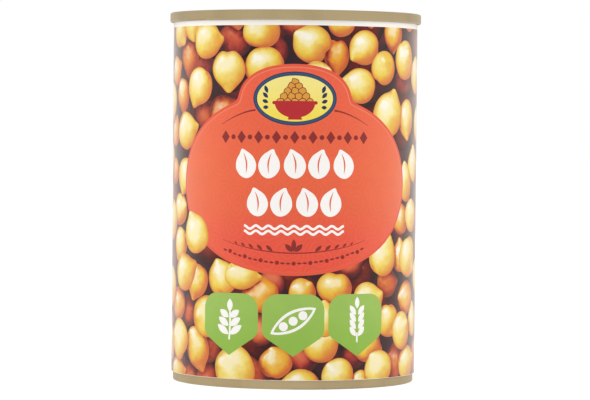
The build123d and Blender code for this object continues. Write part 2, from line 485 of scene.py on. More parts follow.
def scattered_peas(ink):
    """The scattered peas on the flat label: (one pea's form, its faces, every pea's points)."""
    carrier = new_object("heap_carrier", chickpea_mesh())
    grower = carrier.modifiers.new("heap", "NODES")
    grower.node_group = heap_modifier_tree(ink)
    for item in grower.node_group.interface.items_tree:
        if item.name in shared_sizes:
            grower[item.identifier] = shared_sizes[item.name]
    graph = bpy.context.evaluated_depsgraph_get()
    heap = bpy.data.meshes.new_from_object(carrier.evaluated_get(graph))
    points = np.empty(len(heap.vertices) * 3)
    heap.vertices.foreach_get("co", points)
    form = [vertex.co.copy() for vertex in carrier.data.vertices]
    faces = np.empty(len(carrier.data.polygons) * 3, int)
    carrier.data.polygons.foreach_get("vertices", faces)
    bpy.data.objects.remove(carrier)
    bpy.data.meshes.remove(heap)
    middle = ((label_start + label_end) / 2, (label_foot + label_head) / 2, 0)
    return form, faces.reshape(-1, 3), points.reshape(-1, len(form), 3) + middle


def heap_points(ink):
    """The heap, the plaque's own pea last: (pea, vertex, xyz) in flat millimetres, faces, tones."""
    form, faces, scattered = scattered_peas(ink)
    by_hand = (*laid_peas, over_pea)
    laid = np.array([laid_pea(form, *pea) for pea in by_hand])
    places = scattered.mean(axis=1)
    spans = places[:, None, :2] - laid.mean(axis=1)[None, :, :2]
    clear = (np.linalg.norm(spans, axis=2) > laid_clearance).all(axis=1)
    kept = (clear & (abs(places[:, 0]) > laid_reach)) | (places[:, 2] < laid_layers)
    kept_count = np.count_nonzero(kept)
    variety = np.concatenate([np.ones(kept_count), np.full(len(laid), laid_variety)])
    tones = np.random.default_rng(tone_seed).random(kept_count)
    tones = np.concatenate([tones, [pea[-1] for pea in by_hand]])
    return varied(np.concatenate([scattered[kept], laid]), variety), faces, tones


# ---------------------------------------------------------------- outlines of the print


def oval(u, v, half_u, half_v, count):
    turns = [2 * pi * i / count for i in range(count)]
    return [(u + half_u * cos(turn), v + half_v * sin(turn)) for turn in turns]


def rounded(corners, steps=7):
    """An outline through these (u, v, radius) corners, each rounded by an arc."""
    outline = []
    for i, (u, v, radius) in enumerate(corners):
        here = Vector((u, v))
        before = (Vector(corners[i - 1][:2]) - here).normalized()
        after = (Vector(corners[(i + 1) % len(corners)][:2]) - here).normalized()
        half = before.angle(after) / 2
        centre = here + (before + after).normalized() * radius / sin(half)
        first = here + before * radius / tan(half) - centre
        last = here + after * radius / tan(half) - centre
        sweep = pi - 2 * half
        sideways = (last - first * cos(sweep)) / sin(sweep)
        turns = [sweep * step / steps for step in range(steps + 1)]
        outline += [tuple(centre + first * cos(turn) + sideways * sin(turn)) for turn in turns]
    return outline


def ribbon(path, half_widths):
    """The outline of a line of varying width: one half width for each point of its path."""
    points = np.array(path, float)
    along = np.gradient(points, axis=0)
    across = np.stack([-along[:, 1], along[:, 0]], axis=1)
    across *= (np.array(half_widths) / np.linalg.norm(across, axis=1))[:, None]
    return [tuple(p) for p in np.concatenate([points + across, (points - across)[::-1]])]


def tapered(count, widest, ends=0.04):
    """Half widths for a ribbon that is widest in its middle."""
    return [ends + (widest - ends) * sin(pi * i / (count - 1)) for i in range(count)]


def placed(outline, u, v, size=1.0, turn=0.0):
    """The outline, enlarged and turned about its own origin, then moved to (u, v)."""
    c, s = cos(turn) * size, sin(turn) * size
    return [(u + c * x - s * y, v + s * x + c * y) for x, y in outline]


def mirrored(outline):
    return [(-u, v) for u, v in outline]


def in_a_row(count, pitch):
    """Places in a row about the origin."""
    return [(i - (count - 1) / 2) * pitch for i in range(count)]


def slab(half_below, half_above, low, high, radius, steps):
    """A flat block with its own width at its foot and its top, and rounded corners."""
    corners = ((-half_below, low), (half_below, low), (half_above, high), (-half_above, high))
    return rounded([(u, v, radius) for u, v in corners], steps)


def leaf(length, width, count=9):
    """A leaf that grows from the origin along +v."""
    sides = [(width / 2 * sin(pi * i / count) ** 0.8, length * i / count) for i in range(count + 1)]
    return sides + [(-u, v) for u, v in sides[-2:0:-1]]


def pea_silhouette(height, width, count=22):
    """A chickpea from the side, beak up, about the origin."""
    turns = [pi * i / count for i in range(count + 1)]
    side = [chickpea_form(turn, 0) for turn in turns]
    side += [chickpea_form(turn, pi) for turn in turns[-2:0:-1]]
    tall = height / (2 + beak_reach) / pea_half_length
    wide = width / 2 / pea_half_width
    return [(-y * wide, x * tall - height * beak_reach / 4) for x, y, _ in side]


# ---------------------------------------------------------------- layout of the print

# The plaque: a big oval with a hump on its top, an outline, a keyline and two brows
plaque_middle = 59.6
plaque_half = (39.0, 26.6)
hump_middle = 83.5
hump_half = (17.0, 10.8)
hump_power = 2.2
plaque_blend = 14                        # how sharp the corner between the two is
plaque_points = 150
plaque_span = (0.1, 60.0)                # its outline lies this far from a point in the hump,
plaque_fineness = 0.01                   # found to within this
keyline_insets = (0.75, 1.10)
brow_start = (11.6, 80.9)
brow_length = 9.6
brow_slope = 1.15
brow_drop = 4.2
brow_steps = 12
brow_half_width = 0.26
brow_taper = 0.20

# The medallion: an oval in blue rings, with a bowl of chickpeas between two sprigs
medallion_middle = 84.3
medallion_half = (12.3, 7.8)
medallion_rings = ((0.0, "deep_blue"), (0.3, "blue"), (0.9, "deep_blue"), (1.15, "yellow"))
medallion_steps = 64
bowl_rows = ((1, 5.7), (2, 4.5), (3, 3.1), (4, 1.6), (5, 0.0))    # peas in the row, its height
bowl_pitch = 2.15
bowl_pea = (2.5, 2.2)                    # height and width
bowl_pea_inks = (("maroon", 1.14), ("ochre", 0.92))    # a dark outline, then the pea itself
bowl_lean = 0.5                          # of a row's middle
bowl_lean_step = 0.7                     # from each pea to the next
bowl_half = (5.9, 4.5)
bowl_steps = 20
bowl_brim = (6.6, 6.6, -0.5, 0.5, 0.45, 4)             # as slab takes them
bowl_foot = (2.2, 1.7, -0.4, 0.5, 0.20, 3)
bowl_drops = (1.0, 1.1, 1.2, 5.7)        # peas, bowl, brim and foot, below the middle
sprig_leaves = 4
sprig_leaf = (2.4, 1.1)                  # length and width of the top one
sprig_shortening = 0.25                  # from each leaf to the next
sprig_narrowing = 0.1
sprig_pitch = 1.35
sprig_turns = (0.35, 0.42)               # the top leaf's turn, and the step from it
sprig_reach = 8.0
sprig_drop = 0.5

# The title: white chickpeas in rows, as (how many, the row's middle, their height)
title_rows = ((5, 65.1, 9.5), (4, 54.0, 9.3))
title_pitch = 7.3
title_pea_width = 6.6
title_lean = 0.13
crease_half_width = 0.24
crease_back = 0.15                       # its ends lie this far behind the pea's middle,
crease_bow = 0.55                        # and its own middle this far in front of them
crease_top = 0.36                        # a share of the pea's height, as is each step down
crease_drop = 0.062
crease_steps = 10

# The border of lozenges and dots, and the waves
border_height = 73.1
border_reach = 21.2
border_motifs = 17
lozenge_half = (1.35, 1.9)
border_dot = 0.72
wave_height = 46.25
wave_offset = 0.75
wave_reach = 14.9
wave_length = 3.725
wave_swing = 0.48
wave_half_width = 0.36

# The curved rule, its leaves and its beads
rule_reach = 21.9
rule_low = 39.6
rule_rise = 3.6
rule_half_width = 0.17
rule_steps = 60
crown_leaves = ((0.0, 3.7), (0.75, 3.1), (-0.75, 3.1))    # each leaf's turn and length
crown_leaf_width = 1.45
crown_spread = 0.5                       # how far aside a leaf stands, for each radian of turn
crown_lift = 0.35
rule_leaves = (6.2, 9.2, 12.0, 14.6, 17.0)                # from the middle, either way
rule_leaf = (2.6, 1.05)
rule_leaf_shrink = 0.13                  # from each leaf to the next
rule_leaf_lean = 0.85
rule_leaf_lift = 0.2
bead_count = 27
bead_radius = 0.62
long_bead = (1.5, 0.62)
beads_reach = 21.0
beads_low = 36.6
beads_rise = 3.9

# The badges and their emblems
badge_places = (-19.5, 0.0, 19.5)
badge_half_width = 9.15
badge_top = 27.7
badge_waist = 15.7
badge_tip = 9.6
badge_radii = (4.7, 3.2, 0.35)           # at its top, its waist and its tip
emblem_height = 19.8
emblem_size = 1.18                       # emblems are laid out as below, then enlarged by this
leaf_stem = {"foot": 15.0, "step": 1.0, "steps": 8, "sway": 0.25, "half_width": 0.24}
leaf_pairs = {"count": 3, "foot": 16.3, "pitch": 2.1, "aside": 0.20, "lean": 0.95}
leaf_size = (4.0, 1.75)
leaf_shortening = 0.45                   # from each pair to the next
top_leaf = (3.2, 1.6)
top_leaf_foot = (0.15, 21.9)
ear_stem = {"foot": 14.6, "step": 0.6, "steps": 5, "sway": 0.0, "half_width": 0.22}
grain_pairs = {"count": 4, "foot": 16.1, "pitch": 1.75, "aside": 0.35, "lean": 0.62}
grain_size = (2.9, 1.35)
top_grain = (2.9, 1.3)
top_grain_foot = 22.9
pod_middle = 19.9
pod_turn = -1.05
pod_outer = (13.0, 4.9)
pod_inner = (11.2, 3.5)
pod_pea = 1.12
pod_pitch = 2.75
pod_slope = 0.52                         # of the row of peas, in radians as every turn here


def plaque_outline(inset=0.0):
    """The oval with its hump, as seen from a point inside both, drawn in by inset."""

    def outside(u, v):
        oval_reach = ((u / (plaque_half[0] - inset)) ** 2
                      + ((v - plaque_middle) / (plaque_half[1] - inset)) ** 2)
        hump_reach = (abs(u / (hump_half[0] - inset)) ** hump_power
                      + abs((v - hump_middle) / (hump_half[1] - inset)) ** hump_power)
        return oval_reach ** -plaque_blend + hump_reach ** -plaque_blend < 1

    eye = hump_middle - hump_half[1] / 2
    outline = []
    for i in range(plaque_points):
        turn = 2 * pi * i / plaque_points
        near, far = plaque_span
        while far - near > plaque_fineness:
            reach = (near + far) / 2
            if outside(reach * cos(turn), eye + reach * sin(turn)):
                far = reach
            else:
                near = reach
        outline.append((near * cos(turn), eye + near * sin(turn)))
    return outline


def plaque_fields():
    """The plaque in its rim and keyline, and a dark brow on each of its shoulders."""
    fields = [
        ("plaque_rim", plaque_outline()),
        ("keyline", plaque_outline(keyline_insets[0])),
        ("plaque", plaque_outline(keyline_insets[1])),
    ]
    u, v = brow_start
    steps = [brow_length * i / brow_steps for i in range(brow_steps + 1)]
    brow = [(u + brow_slope * step, v - brow_drop * (step / brow_length) ** 1.5) for step in steps]
    widths = [brow_half_width - brow_taper * i / brow_steps for i in range(brow_steps + 1)]
    return fields + [("maroon", ribbon(path, widths)) for path in (brow, mirrored(brow))]


def medallion_fields():
    """A yellow oval in blue rings, with a heaped bowl between two sprigs."""
    half_u, half_v = medallion_half
    rings = [
        (ink, oval(0, medallion_middle, half_u - inset, half_v - inset, medallion_steps))
        for inset, ink in medallion_rings
    ]
    return rings + bowl_fields() + sprig_fields()


def bowl_fields():
    """A red bowl with a brim and a foot, and chickpeas heaped in it."""
    fields = []
    pea_drop, *part_drops = bowl_drops
    pea = pea_silhouette(*bowl_pea, 12)
    for count, height in bowl_rows:
        v = medallion_middle - pea_drop + height
        for u, lean in zip(in_a_row(count, bowl_pitch), in_a_row(count, bowl_lean_step)):
            for ink, size in bowl_pea_inks:
                fields.append((ink, placed(pea, u, v, size, lean + bowl_lean)))
    turns = [pi + pi * i / bowl_steps for i in range(bowl_steps + 1)]
    bowl = [(bowl_half[0] * cos(turn), bowl_half[1] * sin(turn)) for turn in turns]
    for part, drop in zip((bowl, slab(*bowl_brim), slab(*bowl_foot)), part_drops):
        fields.append(("red", placed(part, 0, medallion_middle - drop)))
    return fields


def sprig_fields():
    """A sprig of leaves up each side of the bowl, the top leaf first."""
    fields = []
    foot = medallion_middle - sprig_drop
    first_turn, turn_step = sprig_turns
    length, width = sprig_leaf
    for side in (-1, 1):
        for i in range(sprig_leaves):
            u = side * (sprig_reach - sprig_narrowing * i)
            turn = -side * (first_turn + turn_step * i)
            grown = placed(leaf(length - sprig_shortening * i, width), u, foot, 1, turn)
            fields.append(("deep_blue", placed(grown, 0, sprig_pitch * (1.5 - i))))
    return fields


def title_crease(height):
    """The crease of a white chickpea of this height."""
    path = [
        (
            crease_bow * sin(pi * i / crease_steps) - crease_back,
            height * (crease_top - crease_drop * i),
        )
        for i in range(crease_steps + 1)
    ]
    return ribbon(path, tapered(len(path), crease_half_width))


def title_fields():
    """Rows of white chickpeas, leaning to and fro, each with its crease."""
    fields = []
    for count, middle, height in title_rows:
        pea = pea_silhouette(height, title_pea_width)
        crease = title_crease(height)
        for i, u in enumerate(in_a_row(count, title_pitch)):
            facing = 1 if i % 2 == 0 else -1
            for ink, drawn in (("white", pea), ("plaque", crease)):
                outline = drawn if facing > 0 else mirrored(drawn)
                fields.append((ink, placed(outline, u, middle, 1, title_lean * facing)))
    return fields


def border_fields():
    """A row of dark lozenges and dots."""
    half_u, half_v = lozenge_half
    lozenge = [(half_u, 0), (0, half_v), (-half_u, 0), (0, -half_v)]
    dot = oval(0, 0, border_dot, border_dot, 16)
    fields = []
    for i in range(border_motifs):
        u = border_reach * (2 * i / (border_motifs - 1) - 1)
        fields.append(("maroon", placed(dot if i % 2 else lozenge, u, border_height)))
    return fields


def wave_fields():
    """Two white waves, for the salted water."""
    fields = []
    us = np.linspace(-wave_reach, wave_reach, 97)
    for offset in (-wave_offset, wave_offset):
        middle = wave_height + offset
        path = [(u, middle + wave_swing * cos(2 * pi * u / wave_length)) for u in us]
        fields.append(("white", ribbon(path, [wave_half_width] * len(path))))
    return fields


def rule_height(u):
    return rule_low + rule_rise * (u / rule_reach) ** 2


def flourish_fields():
    """A curved dark rule with leaves on it, three of them in its middle, and beads below it."""
    us = np.linspace(-rule_reach, rule_reach, rule_steps + 1)
    outlines = [ribbon([(u, rule_height(u)) for u in us], tapered(len(us), rule_half_width))]
    crown_foot = rule_height(0) + crown_lift
    for turn, length in crown_leaves:
        grown = leaf(length, crown_leaf_width)
        outlines.append(placed(grown, -turn * crown_spread, crown_foot, 1, turn))
    for side in (-1, 1):
        for i, distance in enumerate(rule_leaves):
            u, size = side * distance, 1 - rule_leaf_shrink * i
            v = rule_height(u) + rule_leaf_lift
            outlines.append(placed(leaf(*rule_leaf), u, v, size, -side * rule_leaf_lean))
    return [("maroon", outline) for outline in outlines + bead_outlines()]


def bead_outlines():
    """The string below the rule: every third a round bead, the others long and lying along it."""
    outlines = []
    length, width = long_bead
    for i in range(bead_count):
        u = beads_reach * (2 * i / (bead_count - 1) - 1)
        v = beads_low + beads_rise * (u / beads_reach) ** 2
        lean = 2 * beads_rise * u / beads_reach ** 2
        if i % 3 == 1:
            outlines.append(placed(oval(0, 0, bead_radius, bead_radius, 12), u, v))
        else:
            outlines.append(placed(leaf(length, width, 6), u - length / 2, v, 1, lean - pi / 2))
    return outlines


def badge_fields():
    """Three green shields, each with a plain white emblem."""
    half, (top, waist, tip) = badge_half_width, badge_radii
    shield = rounded([
        (-half, badge_top, top),
        (-half, badge_waist, waist),
        (0, badge_tip, tip),
        (half, badge_waist, waist),
        (half, badge_top, top),
    ])
    fields = [("leaf_green", placed(shield, u, 0)) for u in badge_places]
    for middle, emblem in zip(badge_places, (sprig_emblem, pod_emblem, ear_emblem)):
        for ink, outline in emblem(middle):
            about = placed(outline, -middle, -emblem_height)
            fields.append((ink, placed(about, middle, emblem_height, emblem_size)))
    return fields


def emblem_stem(middle, foot, step, steps, sway, half_width):
    """A thin upright line that may sway aside."""
    path = [(middle + sway * sin(i / 3), foot + step * i) for i in range(steps)]
    return ribbon(path, [half_width] * steps)


def in_pairs(middle, outlines, count, foot, pitch, aside, lean):
    """The first outline on both sides of a stem, the next one above it, and so on."""
    placings = [(i, side) for i in range(count) for side in (-1, 1)]
    return [
        placed(outlines[i], middle + side * aside, foot + pitch * i, 1, -side * lean)
        for i, side in placings
    ]


def sprig_emblem(middle):
    """A wavy stem with three pairs of leaves and one at its top."""
    length, width = leaf_size
    leaves = [leaf(length - leaf_shortening * i, width) for i in range(leaf_pairs["count"])]
    aside, foot = top_leaf_foot
    outlines = [emblem_stem(middle, **leaf_stem), *in_pairs(middle, leaves, **leaf_pairs)]
    outlines.append(placed(leaf(*top_leaf), middle + aside, foot))
    return [("white", outline) for outline in outlines]


def ear_emblem(middle):
    """An ear of corn: a stalk, four pairs of grains and one at its top."""
    grains = [leaf(*grain_size)] * grain_pairs["count"]
    outlines = [emblem_stem(middle, **ear_stem), *in_pairs(middle, grains, **grain_pairs)]
    outlines.append(placed(leaf(*top_grain), middle, top_grain_foot))
    return [("white", outline) for outline in outlines]


def pod_emblem(middle):
    """An open pod with three peas in it."""
    fields = []
    for ink, (length, width) in (("white", pod_outer), ("leaf_green", pod_inner)):
        half = placed(leaf(length, width, 16), 0, -length / 2)
        fields.append((ink, placed(half, middle, pod_middle, 1, pod_turn)))
    for along in (-pod_pitch, 0, pod_pitch):
        pea = oval(along * cos(pod_slope), along * sin(pod_slope), pod_pea, pod_pea, 18)
        fields.append(("white", placed(pea, middle, pod_middle)))
    return fields


def label_fields():
    """Every printed field over the picture, in painting order, as (ink, outline)."""
    return (
        plaque_fields()
        + medallion_fields()
        + title_fields()
        + border_fields()
        + wave_fields()
        + flourish_fields()
        + badge_fields()
    )


# ---------------------------------------------------------------- the label's mesh


def silhouette(points, edges):
    """The outline of one pea seen from above, as far as each ray from its middle reaches."""
    middle = points[:, :2].mean(axis=0)
    one, other = points[edges[:, 0], :2] - middle, points[edges[:, 1], :2] - middle
    turns = 2 * pi * np.arange(outline_points) / outline_points
    rays = np.stack([np.cos(turns), np.sin(turns)], axis=1)[:, None]
    side_one = rays[..., 0] * one[:, 1] - rays[..., 1] * one[:, 0]
    side_other = rays[..., 0] * other[:, 1] - rays[..., 1] * other[:, 0]
    span = other - one
    slant = rays[..., 0] * span[:, 1] - rays[..., 1] * span[:, 0]
    crossed = (side_one > 0) != (side_other > 0)
    area = one[:, 0] * other[:, 1] - one[:, 1] * other[:, 0]
    reach = np.where(crossed, area / np.where(slant == 0, 1, slant), 0).max(axis=1)
    return middle, middle + rays[:, 0] * reach[:, None]


def inside(outline, points):
    """Which of the points lie inside a closed outline."""
    near = np.flatnonzero(np.all((points >= outline.min(0)) & (points <= outline.max(0)), axis=1))
    u, v = points[near].T
    crossed = np.zeros(len(near), bool)
    for (u1, v1), (u2, v2) in zip(outline, np.roll(outline, -1, axis=0)):
        if v1 != v2:
            crossed ^= ((v1 > v) != (v2 > v)) & (u < (u2 - u1) * (v - v1) / (v2 - v1) + u1)
    return near[crossed]


class Heap:
    """The peas of the heap, with their outlines, in the order in which they are painted."""

    def __init__(self, points, faces, tones):
        rise = points[:, :, 2].mean(axis=1)
        reach = pea_half_length * shared_sizes["Largest"] * 1.5    # the beak's, at its longest
        middles = points[:, :, :2].mean(axis=1)
        seen = (middles[:, 0] > label_start - reach) & (middles[:, 0] < label_end + reach)
        seen &= (middles[:, 1] > picture_foot - reach) & (middles[:, 1] < picture_head + reach)
        order = [k for k in np.argsort(rise[:-1]) if seen[k]] + [len(rise) - 1]
        self.points = points[order]
        self.tones = tones[order]
        self.faces = faces
        shapes = [silhouette(pea, face_edges(faces)) for pea in self.points]
        self.middles = [middle for middle, _ in shapes]
        self.outlines = [outline for _, outline in shapes]
        starts = np.arange(len(self.points)) * self.points.shape[1]
        all_faces = (faces[None] + starts[:, None, None]).reshape(-1, 3)
        self.tree = self.tree_of(self.points.reshape(-1, 3), all_faces)

    @staticmethod
    def tree_of(points, faces):
        return BVHTree.FromPolygons(points.tolist(), faces.tolist(), all_triangles=True)

    def normals(self, pea):
        """Smooth normals at one pea's vertices."""
        facing = face_normals(self.points[pea][self.faces])
        summed = np.zeros_like(self.points[pea])
        for corner in range(3):
            np.add.at(summed, self.faces[:, corner], facing)
        return unit(summed)

    def surface(self, pea, places):
        """Where each place on the label meets this pea, and the smooth normal there."""
        tree = self.tree_of(self.points[pea], self.faces)
        normals = self.normals(pea)
        found = []
        for u, v in places:
            point, _, face, _ = tree.ray_cast(Vector((u, v, ray_start)), Vector((0, 0, -1)))
            if point is None:
                point, _, face, _ = tree.find_nearest(Vector((u, v, self.points[pea][:, 2].max())))
            corners = self.points[pea][self.faces[face]]
            shares = barycentric(np.array(point), corners)
            found.append((point, Vector(shares @ normals[self.faces[face]]).normalized()))
        return found


def barycentric(point, corners):
    """The shares of a triangle's three corners in a point of it."""
    one, other, to = corners[1] - corners[0], corners[2] - corners[0], point - corners[0]
    a, b, c = one @ one, one @ other, other @ other
    d, e = to @ one, to @ other
    whole = a * c - b * b
    second, third = (c * d - b * e) / whole, (a * e - b * d) / whole
    return np.array([1 - second - third, second, third])


def studio_light():
    """Light from a half sphere over the heap, as (direction, strength), brightest at the key."""
    rays = []
    for i in range(light_rays):
        up = 1 - light_spread * (i + 0.5) / light_rays
        turn = i * pi * (3 - sqrt(5))
        flat = sqrt(1 - up * up)
        direction = Vector((flat * cos(turn), flat * sin(turn), up))
        key = key_strength * max(0, direction.dot(key_light)) ** key_sharpness
        strength = sky_share + (1 - sky_share) * key
        rays.append((direction, strength))
    full = sum(max(0, direction.dot(key_light)) * strength for direction, strength in rays)
    return [(direction, strength / full) for direction, strength in rays]


def light_at(tree, point, normal, studio):
    """The share of the studio's light that reaches a point of the heap."""
    start = point + normal * ray_lift
    total = 0.0
    for direction, strength in studio:
        facing = normal.dot(direction)
        if facing > 0:
            _, met, _, _ = tree.ray_cast(start, direction, light_reach)
            if met is None or met.dot(direction) > 0:
                total += facing * strength
    return total


class Print:
    """What is printed on the flat label: the picture's peas, then the fields over them."""

    def __init__(self, heap):
        self.heap = heap
        last = len(heap.points) - 1
        self.paint = [("pea", outline, k) for k, outline in enumerate(heap.outlines[:last])]
        self.paint += [(ink, np.array(outline), -1) for ink, outline in label_fields()]
        self.paint.append(("pea", heap.outlines[last], last))

    def painted(self, points):
        """Which outline shows at each point: its place in the painting order, or -1 for none."""
        shown = np.full(len(points), -1)
        for layer, (_, outline, _) in enumerate(self.paint):
            shown[inside(outline, points)] = layer
        return shown

    def pea_layers(self):
        return [(i, outline, pea) for i, (_, outline, pea) in enumerate(self.paint) if pea >= 0]

    def pea_marks(self):
        """Points and edges where peas show: their outlines, and rings of points within them."""
        layers = self.pea_layers()
        middles = np.array([self.heap.middles[pea] for _, _, pea in layers])[:, None]
        outlines = np.array([outline for _, outline, _ in layers])
        drawn = np.repeat([layer for layer, _, _ in layers], outline_points)
        rims = (middles + (outlines - middles) * corner_pull).reshape(-1, 2)
        rim_shows = (self.painted(rims) == drawn).reshape(len(layers), outline_points)
        edges = rim_shows | np.roll(rim_shows, -1, axis=1)
        rings = []
        for share, count in pea_rings:
            picked = np.arange(count) * outline_points // count
            rings.append(middles + (outlines[:, picked] - middles) * share)
        inner = np.concatenate(rings, axis=1)
        drawn = np.repeat([layer for layer, _, _ in layers], inner.shape[1])
        inner = inner.reshape(-1, 2)
        return outlines, edges, inner[self.painted(inner) == drawn]

    def flat_mesh(self):
        """The flat label as triangles with an edge along every outline: (points, triangles)."""
        outlines, shown_edges, points = self.pea_marks()
        points = list(map(tuple, points))
        edges = []

        def draw(outline, shows):
            first, count = len(points), len(outline)
            points.extend(map(tuple, outline))
            edges.extend((first + i, first + (i + 1) % count) for i in range(count) if shows[i])

        for outline, shows in zip(outlines, shown_edges):
            if shows.any():
                draw(outline, shows)
        for ink, outline, pea in self.paint:
            if pea < 0:
                outline = stepped(outline)
                draw(outline, [True] * len(outline))
        for low, high in ((picture_foot, picture_head), (label_foot, label_head)):
            border = sheet_border(low, high)
            draw(border, [True] * len(border))
        points += sheet_grid(bend_step, picture_foot, picture_head)
        points = [Vector(p) for p in points]
        points, _, faces, *_ = delaunay_2d_cdt(points, edges, [], 0, merge_distance, False)
        return trimmed(straight_border(np.array(points)), np.array(faces))


def trimmed(points, faces):
    """The triangles on the label alone, with doubled points joined and no point to spare."""
    points, same = np.unique(points, axis=0, return_inverse=True)
    faces = same.reshape(-1)[faces]
    faces = faces[np.all(faces != np.roll(faces, 1, axis=1), axis=1)]
    centres = points[faces].mean(axis=1)
    low = np.array([label_start, label_foot]) + sliver
    high = np.array([label_end, label_head]) - sliver
    kept = np.all((centres > low) & (centres < high), axis=1)
    used, faces = np.unique(faces[kept], return_inverse=True)
    return points[used], faces.reshape(-1, 3)


def stepped(outline):
    """An outline whose long straight stretches are divided, so that they follow the can."""
    divided = []
    for here, there in zip(outline, np.roll(outline, -1, axis=0)):
        count = int(abs(there[0] - here[0]) / edge_step) + 1
        divided += [here + (there - here) * i / count for i in range(count)]
    return divided


def straight_border(points):
    """Points that merging drew off the label's edges, put back on them."""
    for axis, sides in ((0, (label_start, label_end)), (1, (label_foot, label_head))):
        for side in sides:
            points[abs(points[:, axis] - side) < 1.5 * merge_distance, axis] = side
    return points.round(4)


def sheet_border(low, high):
    """The edge of the sheet between two heights, in short steps."""
    us = np.linspace(label_start, label_end, round(label_length / edge_step) + 1)
    vs = np.linspace(low, high, round((high - low) / edge_step) + 1)
    return (
        [(u, low) for u in us[:-1]]
        + [(label_end, v) for v in vs[:-1]]
        + [(u, high) for u in us[:0:-1]]
        + [(label_start, v) for v in vs[:0:-1]]
    )


def sheet_grid(steps, low, high):
    us = np.linspace(label_start, label_end, round(label_length / steps[0]) + 1)[1:-1]
    vs = np.linspace(low, high, round((high - low) / steps[1]) + 1)[1:-1]
    return [(u, v) for u in us for v in vs]


def wound(points, inner=False):
    """Flat label points wound round the can, and the outward direction at each."""
    turns = points[:, 0] * MM / label_radius
    along = points[:, 0] - label_start
    rise = np.clip((lap_width + lap_ramp - along) / lap_ramp, 0, 1) * paper
    radii = label_radius - paper if inner else label_radius + rise
    outward = np.stack([np.sin(turns), -np.cos(turns), np.zeros(len(turns))], axis=1)
    places = outward * np.reshape(radii, (-1, 1))
    places[:, 2] = points[:, 1] * MM
    return places, outward


def boundary(faces):
    """The edges that only one triangle has, each as it runs in that triangle."""
    edges = face_edges(faces).tolist()
    known = {tuple(edge) for edge in edges}
    return [(a, b) for a, b in edges if (b, a) not in known]


def ordered(edges):
    """The vertices of one closed loop of edges, in order."""
    following = dict(edges)
    loop = [edges[0][0]]
    while following[loop[-1]] != loop[0]:
        loop.append(following[loop[-1]])
    return loop


def inner_sheet(rim):
    """The label's glued side, with these points on its rim: (points, triangles), rim first."""
    grid = sheet_grid((inner_step, inner_step), label_foot, label_head)
    flat = [Vector(p) for p in rim.tolist() + grid]
    edges = [(i, (i + 1) % len(rim)) for i in range(len(rim))]
    points, _, faces, origins, *_ = delaunay_2d_cdt(flat, edges, [], 0, 0.0, True)
    return np.array(points), np.array(faces), [origin[0] for origin in origins]


def pea_corners(drawing, points, faces, peas):
    """What shows at each corner of each triangle: normal, light and place on the pea."""
    normals = np.zeros((len(faces), 3, 3))
    normals[..., 2] = 1
    lights = np.zeros((len(faces), 3))
    on_pea = np.zeros((len(faces), 3, 3))
    heap = drawing.heap
    studio = studio_light()
    for pea in np.unique(peas[peas >= 0]):
        own = np.flatnonzero(peas == pea)
        corners, back = np.unique(faces[own], return_inverse=True)
        middle = heap.middles[pea]
        places = middle + (points[corners] - middle) * corner_pull
        found = heap.surface(pea, places)
        turned = np.array([normal for _, normal in found])
        lit = np.array([light_at(heap.tree, point, normal, studio) for point, normal in found])
        local = np.array([point for point, _ in found]) - heap.points[pea].mean(axis=0)
        back = back.reshape(-1, 3)
        normals[own] = turned[back]
        lights[own] = lit[back]
        on_pea[own] = local[back]
    return normals, lights, on_pea


def worn_inks(drawing, centres, names):
    """Which ink and which pea show on each triangle of the printed side, -1 for no pea."""
    layers = drawing.painted(centres)
    ink_of = np.array([names.index(ink) for ink, _, _ in drawing.paint])
    pea_of = np.array([pea for _, _, pea in drawing.paint])
    in_picture = (centres[:, 1] > picture_foot) & (centres[:, 1] < picture_head)
    blank = np.where(in_picture, names.index("gap"), names.index("margin"))
    printed = (layers >= 0) & in_picture
    return np.where(printed, ink_of[layers], blank), np.where(printed, pea_of[layers], -1)


def closed_sheet(flat, faces):
    """The whole label, printed side first: points, triangles, flat points, corner normals."""
    rim = ordered(boundary(faces))
    back_flat, back_faces, origins = inner_sheet(flat[rim])
    back_faces = back_faces[:, ::-1]
    front, outward = wound(flat)
    back, inward = wound(back_flat, inner=True)
    back_of = {origin: len(front) + i for i, origin in enumerate(origins)}
    pairs = [(i, (i + 1) % len(rim)) for i in range(len(rim))]
    walls = [(rim[j], rim[i], back_of[i]) for i, j in pairs]
    walls += [(rim[j], back_of[i], back_of[j]) for i, j in pairs]
    walls = np.array(walls)
    places = np.concatenate([front, back])
    triangles = np.concatenate([faces, back_faces + len(front), walls])
    shading = np.concatenate([
        outward[faces].reshape(-1, 3),
        -inward[back_faces].reshape(-1, 3),
        np.repeat(unit(face_normals(places[walls])), 3, axis=0),
    ])
    return places, triangles, np.concatenate([flat, back_flat]), shading


def store(mesh, name, values):
    """Keep a number or vector for each corner of the printed side, which comes first."""
    kind, field, size = ("FLOAT", "value", 1)
    if values.ndim == 3:
        kind, field, size = ("FLOAT_VECTOR", "vector", 3)
    whole = np.zeros(len(mesh.loops) * size)
    whole[:values.size] = values.reshape(-1)
    mesh.attributes.new(name, kind, "CORNER").data.foreach_set(field, whole)


